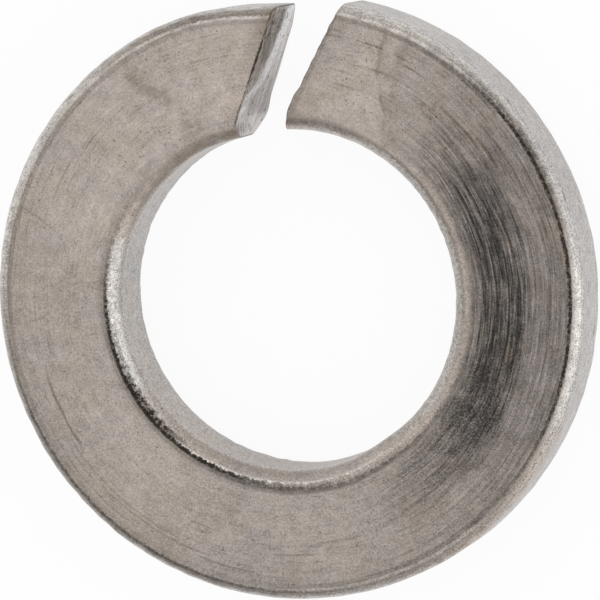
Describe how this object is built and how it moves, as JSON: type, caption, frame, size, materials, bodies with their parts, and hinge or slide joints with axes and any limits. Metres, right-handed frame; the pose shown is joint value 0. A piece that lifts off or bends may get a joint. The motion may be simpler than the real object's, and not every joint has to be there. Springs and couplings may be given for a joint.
{
  "type": "spring lock washer",
  "caption": "Helical spring lock washer: a short coil of rounded rectangular steel wire, split by a slanting cut, that keeps a bolt or nut from working loose.",
  "frame": {"origin": "on the bore axis, at the height of the washer's lowest point, which is the foot of the low end", "axes": "+Z along the bore axis, away from the surface that the washer lies on; +Y through the split, half way across the wire; +X completes the right-handed frame, so the low end lies on the +X side of the split and the high end on the -X side"},
  "size_m": [0.0144, 0.0144, 0.0034],
  "materials": {
    "spring_steel": "plain spring steel, worn and scratched, with drawing lines along the wire and a few dark stains"
  },
  "bodies": {
    "root": {"lock_washer": "spring_steel"}
  },
  "joints": []
}
